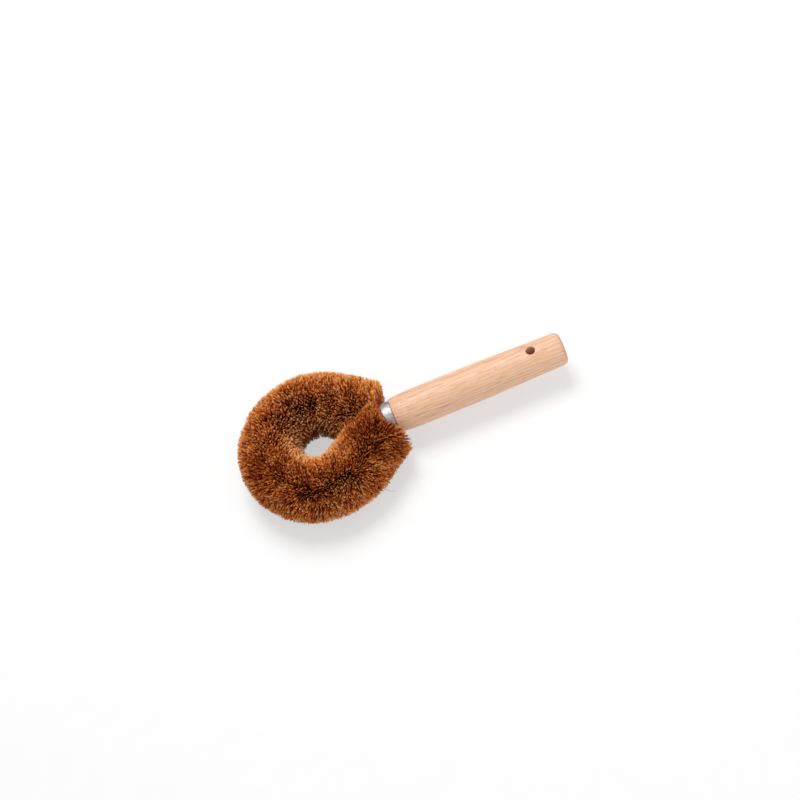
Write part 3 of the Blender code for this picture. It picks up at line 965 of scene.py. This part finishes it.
def ferrule(finish):
    """A cup of sheet metal: its lip, its side, its rounded front edge, its mouth and its bore."""
    outline = [(ferrule_length - ferrule_lip_inner_ease, ferrule_bore_radius),
               (ferrule_length, ferrule_bore_radius + ferrule_lip_inner_ease),
               (ferrule_length, ferrule_radius - ferrule_lip_outer_ease),
               (ferrule_length - ferrule_lip_outer_ease, ferrule_radius)]
    outline += [(ferrule_length * share, ferrule_radius) for share in (0.8, 0.6, 0.4, 0.25)]
    outline += quarter_round(ferrule_edge_round, ferrule_radius - ferrule_edge_round,
                             ferrule_edge_round, math.pi / 2)
    outline += [(ferrule_mouth_ease, ferrule_mouth_radius), (ferrule_wall, ferrule_mouth_radius),
                (ferrule_wall, ferrule_bore_radius)]
    mesh = turned("ferrule_cup", outline, ferrule_sides, True)
    mesh.transform(Matrix.Translation((ferrule_x, 0.0, 0.0)))
    mesh.flip_normals()
    add_piece("ferrule_cup", smooth(mesh, 35), finish, ("ferrule",))


def handle_body_radius(along):
    """Radius of the gripped length, from the flared front over the belly to the rear."""
    if along < handle_flare_length:
        left = 1 - along / handle_flare_length
        return handle_belly_radius - (handle_belly_radius - handle_front_radius) * left ** 2
    taper_start = handle_flare_length + handle_belly_length
    if along < taper_start:
        return handle_belly_radius
    share = (along - taper_start) / (handle_length - taper_start)
    ease_share = share * share * (3 - 2 * share)
    return handle_belly_radius - (handle_belly_radius - handle_rear_radius) * ease_share


def handle_body():
    """The handle before its hanging hole is drilled: body, tenon and blind bore."""
    round_start = handle_length - handle_end_round
    end_radius = handle_body_radius(round_start)
    outline = [(handle_length, turned_end_radius), (handle_length, handle_end_round)]
    outline += quarter_round(round_start, end_radius - handle_end_round, handle_end_round, 0.0, 14)
    outline += [(along, handle_body_radius(along))
                for along in np.linspace(round_start, handle_front_ease, handle_rings)[1:-1]]
    outline += quarter_round(handle_front_ease, handle_front_radius - handle_front_ease,
                             handle_front_ease, math.pi / 2, 5)
    outline += [(0.0, tenon_radius), (handle_front_ease - tenon_length, tenon_radius),
                (-tenon_length, tenon_radius - handle_front_ease),
                (-tenon_length, ferrule_mouth_radius)]
    countersink = ferrule_mouth_radius - handle_bore_radius
    bore_end = wire_depth + handle_bore_behind_wire
    outline += [(countersink - tenon_length, handle_bore_radius), (bore_end, handle_bore_radius),
                (bore_end + drill_tip_length, turned_end_radius)]
    body = turned("wooden_handle", outline, handle_sides, False)
    body.flip_normals()
    body.transform(Matrix.Translation((shoulder_x, 0.0, 0.0)))
    return body


def hole_drill():
    """The shape that cuts the upright hanging hole and eases its two rims."""
    place = handle_length - hang_hole_from_rear
    surface = handle_body_radius(place)
    upper = quarter_round(surface - hang_hole_ease, hang_hole_radius + hang_hole_ease,
                          hang_hole_ease, -math.pi / 2, 6)
    upper += [(surface + hole_drill_overrun, hole_drill_end_radius)]
    lower = [(-along, radius) for along, radius in upper[::-1]]
    drill = turned("hole_drill", lower + upper, drill_sides, False)
    drill.transform(Matrix.Rotation(-math.pi / 2, 4, "Y"))
    drill.transform(Matrix.Translation((shoulder_x + place, 0.0, 0.0)))
    return drill


def handle(finish):
    """The turned handle with its hanging hole."""
    body = bpy.data.objects.new("wooden_handle", handle_body())
    drill = bpy.data.objects.new("hole_drill", hole_drill())
    for thing in (body, drill):
        bpy.context.scene.collection.objects.link(thing)
    cut = body.modifiers.new("hole", "BOOLEAN")
    cut.operation = "DIFFERENCE"
    cut.solver = "EXACT"
    cut.object = drill
    bpy.context.view_layer.update()
    drilled = body.evaluated_get(bpy.context.evaluated_depsgraph_get())
    mesh = bpy.data.meshes.new_from_object(drilled)
    for thing in (body, drill):
        bpy.data.objects.remove(thing, do_unlink=True)
    add_piece("wooden_handle", smooth(mesh, 32), finish, ("handle",))


# Floor, camera and light

view_azimuth = math.radians(0.37)
view_elevation = math.radians(57.43)
view_roll = math.radians(22.4)
view_distance = 1.300
picture_side = 800
pixels_per_metre = 1384.1
ring_centre_pixel = (318.03, 446.66)
floor_side = 12.0
floor_glow_share = 0.55
world_strength = 0.48

back = Vector((math.sin(view_azimuth) * math.cos(view_elevation),
               -math.cos(view_azimuth) * math.cos(view_elevation), math.sin(view_elevation)))
level = Vector((math.cos(view_azimuth), math.sin(view_azimuth), 0.0))
steep = back.cross(level)
right = level * math.cos(view_roll) - steep * math.sin(view_roll)
up = level * math.sin(view_roll) + steep * math.cos(view_roll)


def floor():
    """A pale floor that keeps the shadow, and looks brighter to the camera and in metal."""
    made, tree, shader = new_material("pale_floor")
    tree.nodes.remove(shader)
    tone = ramp(tree, noise(tree, placed(tree), 60.0, 3.0), [(0.3, 0.86), (0.7, 0.88)])
    paint = add_node(tree, "ShaderNodeBsdfDiffuse", {"Color": tone})
    glow = add_node(tree, "ShaderNodeEmission", {"Color": (1.0, 1.0, 1.0, 1.0), "Strength": 1.0})
    ray = tree.nodes.new("ShaderNodeLightPath")
    seen = maths(tree, "MAXIMUM", ray.outputs["Is Camera Ray"], ray.outputs["Is Glossy Ray"])
    seen = maths(tree, "MAXIMUM", seen, ray.outputs["Is Transmission Ray"])
    share = maths(tree, "MULTIPLY", seen, floor_glow_share)
    mix = add_node(tree, "ShaderNodeMixShader", {"Fac": share})
    tree.links.new(paint.outputs[0], mix.inputs[1])
    tree.links.new(glow.outputs[0], mix.inputs[2])
    tree.links.new(mix.outputs[0], tree.nodes["Material Output"].inputs["Surface"])
    bpy.ops.mesh.primitive_plane_add(size=floor_side, location=(0.0, 0.0, 0.0))
    plane = bpy.context.object
    plane.name = "studio_floor"
    plane.data.materials.append(made)


def camera():
    """The photograph's own view, with its scale and its place for the ring's centre."""
    data = bpy.data.cameras.new("camera")
    data.sensor_width = 36.0
    data.lens = data.sensor_width * view_distance * pixels_per_metre / picture_side
    data.clip_start = 0.05
    data.clip_end = 50.0
    made = bpy.data.objects.new("camera", data)
    bpy.context.scene.collection.objects.link(made)
    aside, below = ((pixel - picture_side / 2) / pixels_per_metre for pixel in ring_centre_pixel)
    pose = Matrix((right, up, back)).transposed().to_4x4()
    pose.translation = ring_centre + back * view_distance - right * aside + up * below
    made.matrix_world = pose
    bpy.context.scene.camera = made


def area_light(name, place, target, size, power):
    """A round soft light that shines from its place to the target."""
    data = bpy.data.lights.new(name, "AREA")
    data.shape = "DISK"
    data.size = size
    data.energy = power
    made = bpy.data.objects.new(name, data)
    bpy.context.scene.collection.objects.link(made)
    made.location = place
    made.rotation_euler = (place - target).to_track_quat("Z", "Y").to_euler()


def lighting():
    """A key light from the picture's upper left, a fill from its lower right, and an even world."""
    target = Vector((0.0, 0.0, 0.02))
    area_light("key", target - right * 0.40 + up * 1.10 + back * 0.85, target, 0.80, 16.8)
    area_light("fill", target + right * 0.80 - up * 0.55 + back * 0.90, target, 1.1, 4.8)
    world = bpy.data.worlds.new("studio")
    bpy.context.scene.world = world
    world.use_nodes = True
    background = world.node_tree.nodes["Background"]
    background.inputs["Color"].default_value = (1.0, 1.0, 1.0, 1.0)
    background.inputs["Strength"].default_value = world_strength


camera()
lighting()
floor()
wire_finish = wire_material()
core_wire("twisted_wire_a", "core_wire_strand_a", 0.0, wire_finish)
core_wire("twisted_wire_b", "core_wire_strand_b", math.pi, wire_finish)
ferrule(steel_material())
handle(wood_material())
root_mat(painted_shade_mat_material())
fibre_pieces(fibre_material())

bpy.context.scene.view_settings.view_transform = "Standard"
